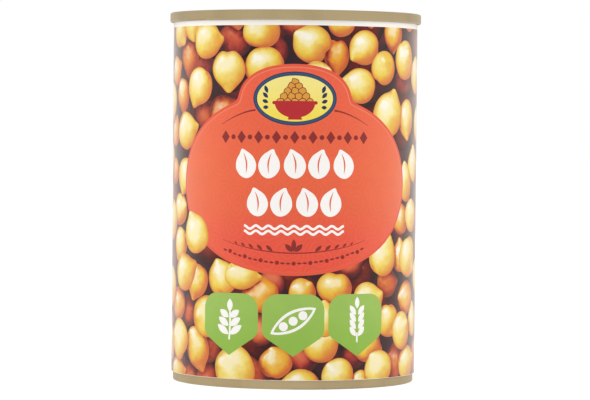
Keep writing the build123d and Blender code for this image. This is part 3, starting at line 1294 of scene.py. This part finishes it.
def label_mesh(inks):
    """The label as one closed sheet, its printed side divided among the inks."""
    drawing = Print(Heap(*heap_points(inks["pea"])))
    flat, faces = drawing.flat_mesh()
    names = list(inks)
    worn, peas = worn_inks(drawing, flat[faces].mean(axis=1), names)
    places, triangles, sheet, shading = closed_sheet(flat, faces)
    mesh = bpy.data.meshes.new("paper_label")
    mesh.from_pydata(places.tolist(), [], triangles.tolist())
    for ink in inks.values():
        mesh.materials.append(ink)
    all_worn = np.full(len(triangles), names.index("margin"), np.int32)
    all_worn[:len(faces)] = worn
    mesh.polygons.foreach_set("material_index", all_worn)
    mesh.polygons.foreach_set("use_smooth", np.ones(len(triangles), bool))

    normals, lights, on_pea = pea_corners(drawing, flat, faces, peas)
    tones = np.append(drawing.heap.tones, 0)
    depths = np.append(drawing.heap.points[:, :, 2].mean(axis=1), 0)
    store(mesh, "pea_normal", normals)
    store(mesh, "pea_light", lights)
    store(mesh, "pea_place", on_pea)
    store(mesh, "pea_tone", np.repeat(tones[peas], 3))
    store(mesh, "pea_depth", np.repeat(depths[peas], 3))
    laid_flat = sheet[triangles.reshape(-1)] * MM
    mesh.uv_layers.new(name="sheet").data.foreach_set("uv", laid_flat.reshape(-1))
    mesh.normals_split_custom_set(shading.tolist())
    return mesh


# ---------------------------------------------------------------- finishes

bump_depth = 0.01 * MM
plaque_grade = (33.0, 94.0)              # its colour runs between these heights
plaque_shades = (
    (0.00, srgb(237, 83, 62)),
    (0.18, srgb(235, 86, 64)),
    (0.32, srgb(235, 98, 64)),
    (0.50, srgb(236, 102, 64)),
    (0.75, srgb(238, 98, 66)),
    (1.00, srgb(239, 96, 68)),
)
# painted sheen: the plaque's colour at its sides, where the can turns away from the eye
plaque_painted_side_sheen = srgb(252, 143, 92)
curl_shade = srgb(240, 128, 92)
curl_pitch = 1.35
gap_shades = ((0.30, srgb(34, 20, 32)), (0.50, srgb(52, 20, 26)), (0.66, srgb(104, 30, 30)))
pea_shades = (
    (0.00, srgb(44, 20, 24)),
    (0.09, srgb(124, 36, 30)),
    (0.20, srgb(192, 90, 52)),
    (0.33, srgb(220, 140, 62)),
    (0.48, srgb(233, 178, 52)),
    (0.66, srgb(238, 203, 78)),
    (0.84, srgb(244, 221, 116)),
    (1.00, srgb(251, 238, 174)),
)
deep_pea_shades = (
    (0.00, srgb(46, 18, 28)),
    (0.15, srgb(112, 26, 32)),
    (0.35, srgb(178, 60, 48)),
    (0.60, srgb(216, 104, 68)),
    (1.00, srgb(238, 154, 98)),
)
rim_shade = srgb(212, 110, 68)
warm_shade = srgb(218, 120, 60)
sunk_tint = srgb(250, 180, 136)
lost_shade = srgb(66, 24, 30)
deepest_tint = srgb(126, 62, 68)
sheen_shade = srgb(252, 242, 204)
glint_shade = srgb(255, 250, 236)
sheen_direction = Vector((-0.22, 0.36, 0.91)).normalized()
glint_direction = Vector((-0.34, 0.46, 0.82)).normalized()
warm_direction = Vector((0.66, -0.62, 0.20)).normalized()


def grey(tree, value):
    return add(tree, "ShaderNodeCombineColor", {0: value, 1: value, 2: value}).outputs[0]


def wire_finish(tree, shader, colour, roughness, grain, strength):
    """Give a shader its colour, its roughness, and the fine bumps of its grain."""
    inputs = {"Height": grain, "Strength": strength, "Distance": bump_depth}
    bump = add(tree, "ShaderNodeBump", inputs).outputs[0]
    for name, value in (("Base Color", colour), ("Roughness", roughness), ("Normal", bump)):
        tree.links.new(value, shader.inputs[name])


def paper_print_group():
    """Ink on coated paper: uneven cover, the paper's tooth, and a gloss that wavers a little."""
    tree, given, result = new_tree(
        "ink_on_paper",
        "ShaderNodeTree",
        {"Ink": "Color", "Sheet": "Vector", "Unevenness": "Float"},
        {"Color": "Color", "Roughness": "Float", "Tooth": "Float"},
    )
    cover = noise(tree, given["Sheet"], 0.22, 3.0)
    fibre = noise(tree, given["Sheet"], 9.0, 4.0, 0.6)
    both = maths(tree, "ADD", times(tree, cover, 0.6), times(tree, fibre, 0.4))
    low = maths(tree, "SUBTRACT", 1.0, given["Unevenness"])
    tint = grey(tree, rescaled(tree, both, 0.3, 0.7, low, 1.0))
    tree.links.new(mixed(tree, 1.0, given["Ink"], tint, "MULTIPLY"), result["Color"])
    tree.links.new(rescaled(tree, both, 0.3, 0.7, 0.30, 0.42), result["Roughness"])
    tree.links.new(fibre, result["Tooth"])
    return tree


paper_print = paper_print_group()


def sheet_millimetres(tree):
    """The label's flat coordinates in millimetres, and the height alone."""
    flat = add(tree, "ShaderNodeUVMap", uv_map="sheet").outputs[0]
    sheet = vectors(tree, "MULTIPLY", flat, (1 / MM, 1 / MM, 0))
    return sheet, split(tree, sheet)["Y"]


def print_material(name, ink, unevenness=0.05):
    """A printed finish. ink(tree, sheet, height) gives its colour."""
    material, tree, shader = new_material(
        "print_" + name,
        Specular_IOR_Level=0.14,
        Coat_Weight=0.08,
        Coat_Roughness=0.16,
        Sheen_Weight=1.0,
        Sheen_Roughness=0.40,
        Sheen_Tint=(0.96, 0.85, 0.77, 1.0),
    )
    sheet, height = sheet_millimetres(tree)
    inputs = {"Ink": ink(tree, sheet, height), "Sheet": sheet, "Unevenness": unevenness}
    laid = add(tree, "ShaderNodeGroup", inputs, node_tree=paper_print).outputs
    wire_finish(tree, shader, laid["Color"], laid["Roughness"], laid["Tooth"], 0.10)
    return material


def flat_ink(red, green, blue):
    return lambda tree, sheet, height: srgb(red, green, blue)


def graded_ink(low, high, below, above):
    """An ink that runs from one colour to another between two heights."""

    def ink(tree, sheet, height):
        return mixed(tree, rescaled(tree, height, low, high), srgb(*below), srgb(*above))

    return ink


def gap_ink(tree, sheet, height):
    """The dark between the peas, redder here and there."""
    return ramp(tree, noise(tree, sheet, 0.09, 2.0), gap_shades)


def plaque_ink(tree, sheet, height):
    """Red-orange, paler to the sides in painted sheen, with faint curls that lie tone on tone."""
    ground = ramp(tree, rescaled(tree, height, *plaque_grade, smooth=False), plaque_shades)
    aside = maths(tree, "ABSOLUTE", split(tree, sheet)["X"])
    # painted sheen: paler the further from the front's middle, as side light would make it
    ground = mixed(tree, rescaled(tree, aside, 10.0, 42.0, 0.0, 0.24), ground, plaque_painted_side_sheen)
    warp = noise(tree, sheet, 0.13, 1.0, output="Color")
    bent = vectors(tree, "MULTIPLY_ADD", warp, (3.0, 3.0, 0.0), sheet)
    inputs = {"Vector": bent, "Scale": 0.16, "Randomness": 0.85}
    cell = add(tree, "ShaderNodeTexVoronoi", inputs, voronoi_dimensions="2D")
    local = vectors(tree, "SUBTRACT", bent, cell.outputs["Position"])
    turn = maths(tree, "ARCTAN2", split(tree, local)["Y"], split(tree, local)["X"])
    reach = vectors(tree, "LENGTH", local)
    phase = maths(tree, "MULTIPLY_ADD", reach, 2 * pi / curl_pitch, turn)
    curl = rescaled(tree, maths(tree, "SINE", phase), -0.2, 0.5)
    return mixed(tree, times(tree, curl, 0.13), ground, curl_shade)


def attribute(tree, name, output="Vector"):
    return add(tree, "ShaderNodeAttribute", attribute_name=name).outputs[output]


def toward(tree, vector, direction):
    """How far a vector points in a direction."""
    return vectors(tree, "DOT_PRODUCT", vector, tuple(direction))


def pea_ink(tree, sheet, height):
    """Chickpeas lit as the heap was: dimpled skins, warm rims, pale sheens and small glints."""
    normal = attribute(tree, "pea_normal")
    light = attribute(tree, "pea_light", "Fac")
    tone = attribute(tree, "pea_tone", "Fac")
    depth = attribute(tree, "pea_depth", "Fac")
    facing = split(tree, normal)["Z"]
    bent, shade = pea_skin(tree, normal, light, tone)
    deepest = rescaled(tree, depth, -4.5, -9.0, smooth=False)
    colour = warmed(tree, ramp(tree, shade, pea_shades), bent, facing, light, tone)
    colour = sunken(tree, colour, shade, facing, depth, deepest)
    return shining(tree, colour, bent, light, deepest)


def pea_skin(tree, normal, light, tone):
    """The normal of a dimpled and wrinkled skin, and how light the skin is."""
    apart = joined(tree, times(tree, tone, 97.0))        # no two peas share their dimples
    place = vectors(tree, "ADD", attribute(tree, "pea_place"), apart)
    dimples = noise(tree, place, 0.33, 3.0, output="Color")
    dimples = vectors(tree, "SUBTRACT", dimples, (0.5, 0.5, 0.5))
    bent = vectors(tree, "MULTIPLY_ADD", dimples, (0.85, 0.85, 0.4), normal)
    bent = vectors(tree, "NORMALIZE", bent)
    change = toward(tree, vectors(tree, "SUBTRACT", bent, normal), key_light)
    mottle = maths(tree, "SUBTRACT", noise(tree, place, 1.1, 4.0, 0.6), 0.5)
    shade = maths(tree, "MULTIPLY_ADD", change, 0.5, light)
    shade = maths(tree, "MULTIPLY_ADD", mottle, 0.10, shade)
    return bent, maths(tree, "MULTIPLY_ADD", maths(tree, "SUBTRACT", tone, 0.62), 0.26, shade)


def warmed(tree, colour, bent, facing, light, tone):
    """A warm rim round each pea, and a warm side away from the key light."""
    rim = times(tree, rescaled(tree, facing, 0.72, 0.08), 0.64)
    rim = times(tree, rim, rescaled(tree, light, 1.0, 0.3, 0.5, 1.0))
    colour = mixed(tree, rim, colour, rim_shade)
    warm = rescaled(tree, toward(tree, bent, warm_direction), 0.25, 1.0)
    warm = times(tree, warm, rescaled(tree, tone, 0.9, 0.1, 0.45, 0.85))
    return mixed(tree, warm, colour, warm_shade)


def sunken(tree, colour, shade, facing, depth, deepest):
    """Peas grow redder and darker the deeper they lie, at their rims most of all."""
    sunk = rescaled(tree, depth, -1.0, -5.0, smooth=False)
    colour = mixed(tree, times(tree, sunk, 0.75), colour, sunk_tint, "MULTIPLY")
    colour = mixed(tree, deepest, colour, ramp(tree, shade, deep_pea_shades))
    lost = times(tree, rescaled(tree, depth, -3.5, -8.5), rescaled(tree, facing, 0.9, 0.15))
    colour = mixed(tree, times(tree, lost, 0.8), colour, lost_shade)
    below = rescaled(tree, depth, -9.5, -13.5, 0.0, 0.9)
    return mixed(tree, below, colour, deepest_tint, "MULTIPLY")


def shining(tree, colour, bent, light, deepest):
    """A broad pale sheen and a small glint, neither of them on the deepest peas."""
    sheen = rescaled(tree, toward(tree, bent, sheen_direction), 0.80, 1.0)
    sheen = times(tree, sheen, rescaled(tree, light, 0.35, 0.95))
    sheen = times(tree, sheen, rescaled(tree, deepest, 0, 1, 0.68, 0.02))
    colour = mixed(tree, sheen, colour, sheen_shade)
    glint = rescaled(tree, toward(tree, bent, glint_direction), 0.955, 0.99)
    glint = times(tree, glint, rescaled(tree, light, 0.3, 0.8))
    glint = times(tree, glint, rescaled(tree, deepest, 0, 1, 0.8, 0.0))
    return mixed(tree, glint, colour, glint_shade)


def label_inks():
    """The label's finishes by the names that the print's fields use."""
    keyline = graded_ink(38.0, 62.0, (236, 96, 72), (241, 128, 98))
    leaf_green = graded_ink(badge_tip, badge_top, (145, 188, 74), (157, 194, 92))
    yellow = graded_ink(77.0, 91.0, (250, 226, 84), (250, 234, 142))
    return {
        "margin": print_material("margin", flat_ink(254, 250, 243), 0.01),
        "gap": print_material("gap", gap_ink),
        "pea": print_material("chickpeas", pea_ink, 0.03),
        "plaque": print_material("plaque", plaque_ink),
        "plaque_rim": print_material("plaque_rim", flat_ink(233, 90, 64)),
        "keyline": print_material("keyline", keyline),
        "maroon": print_material("maroon", flat_ink(140, 43, 40)),
        "deep_blue": print_material("deep_blue", flat_ink(32, 50, 84)),
        "blue": print_material("blue", flat_ink(50, 82, 118)),
        "leaf_green": print_material("leaf_green", leaf_green),
        "yellow": print_material("yellow", yellow),
        "ochre": print_material("ochre", flat_ink(222, 160, 62)),
        "red": print_material("red", flat_ink(186, 40, 46)),
        "white": print_material("white", flat_ink(254, 251, 247), 0.01),
    }


def metal_grain_group():
    """Rolled and pressed sheet: rings round the can's axis, soft blotches and fine scuffs."""
    tree, given, result = new_tree(
        "pressed_sheet",
        "ShaderNodeTree",
        {"Place": "Vector", "Rings": "Float"},
        {"Blotches": "Float", "Scuffs": "Float", "Grain": "Float"},
    )
    place = split(tree, given["Place"])
    radius = vectors(tree, "LENGTH", joined(tree, place["X"], place["Y"]))
    rings = noise(tree, joined(tree, radius, place["Z"]), 2600.0, 3.0, 0.7)
    blotches = noise(tree, given["Place"], 70.0, 3.0)
    scuffs = rescaled(tree, noise(tree, given["Place"], 420.0, 6.0, 0.75), 0.60, 0.74)
    tree.links.new(blotches, result["Blotches"])
    tree.links.new(scuffs, result["Scuffs"])
    tree.links.new(mixed(tree, given["Rings"], blotches, rings), result["Grain"])
    return tree


pressed_sheet = metal_grain_group()


def metal_material(name, clean, worn, roughness, rings):
    """Sheet metal whose colour runs between two tones over its blotches."""
    material, tree, shader = new_material(name, Metallic=1.0)
    inputs = {"Place": add(tree, "ShaderNodeTexCoord").outputs["Object"], "Rings": rings}
    sheet = add(tree, "ShaderNodeGroup", inputs, node_tree=pressed_sheet).outputs
    tone = rescaled(tree, sheet["Blotches"], 0.35, 0.68)
    rough = rescaled(tree, sheet["Grain"], 0.3, 0.7, roughness - 0.05, roughness + 0.05)
    rough = maths(tree, "MULTIPLY_ADD", sheet["Scuffs"], 0.12, rough)
    colour = mixed(tree, tone, srgb(*clean), srgb(*worn))
    wire_finish(tree, shader, colour, rough, sheet["Grain"], 0.12)
    return material


def finish_cad_nodes():
    """The ends and the wall keep their own meshes, and get their finishes."""
    lacquer = metal_material("gold_lacquer", (178, 160, 123), (170, 152, 116), 0.46, 0.8)
    steel = metal_material("tinplate", (203, 203, 200), (190, 190, 188), 0.30, 0.5)
    for name, material in (("top_end", lacquer), ("bottom_end", lacquer), ("can_body", steel)):
        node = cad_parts[name]
        node.data.materials.clear()
        node.data.materials.append(material)


def add_label():
    """The printed label, in place of the plain one."""
    label = new_object("paper_label", label_mesh(label_inks()))
    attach(label, "root")
    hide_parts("label")


# ---------------------------------------------------------------- camera, floor and light

camera_place = Vector((0.0, -0.9025, 0.0763))
camera_aim = Vector((0.00025, 0.0, 0.0541))
camera_roll = radians(0.5)
camera_lens = 182.9
floor_half = 6.0
floor_albedo = 0.80
floor_glow = 0.76                        # seen by the camera and in reflections alone
floor_shown_albedo = 0.42
sky_strength = 0.85
softbox_size = 0.9
softboxes = (                            # name, place, power
    ("left_softbox", (-0.95, -0.18, 0.25), 3.4),
    ("right_softbox", (0.95, -0.18, 0.25), 3.3),
    ("top_softbox", (0.0, 0.10, 0.95), 1.0),
)
softbox_aim = (0.0, 0.0, 0.055)


def turn_to(holder, place, aim, roll=0.0):
    """Put a camera or a lamp in its place, looking at its aim."""
    holder.location = place
    holder.rotation_mode = "QUATERNION"
    look = (Vector(aim) - Vector(place)).to_track_quat("-Z", "Y")
    holder.rotation_quaternion = look @ Quaternion((0, 0, 1), roll)


def add_camera():
    """The camera, level with the can's upper part and looking a little down."""
    camera = bpy.data.cameras.new("camera")
    camera.lens = camera_lens
    camera.sensor_width = 36.0
    camera.clip_start = 0.01
    camera.clip_end = 50.0
    holder = new_object("camera", camera)
    turn_to(holder, camera_place, camera_aim, camera_roll)
    bpy.context.scene.camera = holder


def seen_directly(tree):
    """1 for rays from the camera, in reflections and through glass, 0 for rays that bring light."""
    path = add(tree, "ShaderNodeLightPath").outputs
    either = maths(tree, "MAXIMUM", path["Is Camera Ray"], path["Is Glossy Ray"])
    return maths(tree, "MAXIMUM", either, path["Is Transmission Ray"])


def add_floor():
    """A white floor that keeps the can's shadow."""
    mesh = bpy.data.meshes.new("floor")
    corners = [(x * floor_half, y * floor_half, 0) for x, y in ((-1, -1), (1, -1), (1, 1), (-1, 1))]
    mesh.from_pydata(corners, [], [(0, 1, 2, 3)])
    material, tree, shader = new_material(
        "floor", Roughness=0.9, Specular_IOR_Level=0.0, Emission_Color=(1, 1, 1, 1)
    )
    shown = seen_directly(tree)
    albedo = rescaled(tree, shown, 0, 1, floor_albedo, floor_shown_albedo, smooth=False)
    tree.links.new(grey(tree, albedo), shader.inputs["Base Color"])
    tree.links.new(times(tree, shown, floor_glow), shader.inputs["Emission Strength"])
    mesh.materials.append(material)
    new_object("floor", mesh)


def add_sky():
    """A white room that lights the can less than it shows."""
    world = bpy.data.worlds.new("studio")
    bpy.context.scene.world = world
    world.use_nodes = True
    tree = world.node_tree
    background = tree.nodes["Background"]
    background.inputs["Color"].default_value = (1, 1, 1, 1)
    strength = rescaled(tree, seen_directly(tree), 0, 1, sky_strength, 1.0, smooth=False)
    tree.links.new(strength, background.inputs["Strength"])


def add_softboxes():
    """Two softboxes at the can's sides, a little to the front, and a weak one overhead."""
    for name, place, power in softboxes:
        lamp = bpy.data.lights.new(name, "AREA")
        lamp.shape = "RECTANGLE"
        lamp.size = softbox_size
        lamp.size_y = softbox_size
        lamp.energy = power
        holder = new_object(name, lamp)
        turn_to(holder, place, softbox_aim)
        holder.visible_glossy = False


add_camera()
add_floor()
add_sky()
add_softboxes()
finish_cad_nodes()
add_label()

bpy.context.scene.view_settings.view_transform = "Standard"
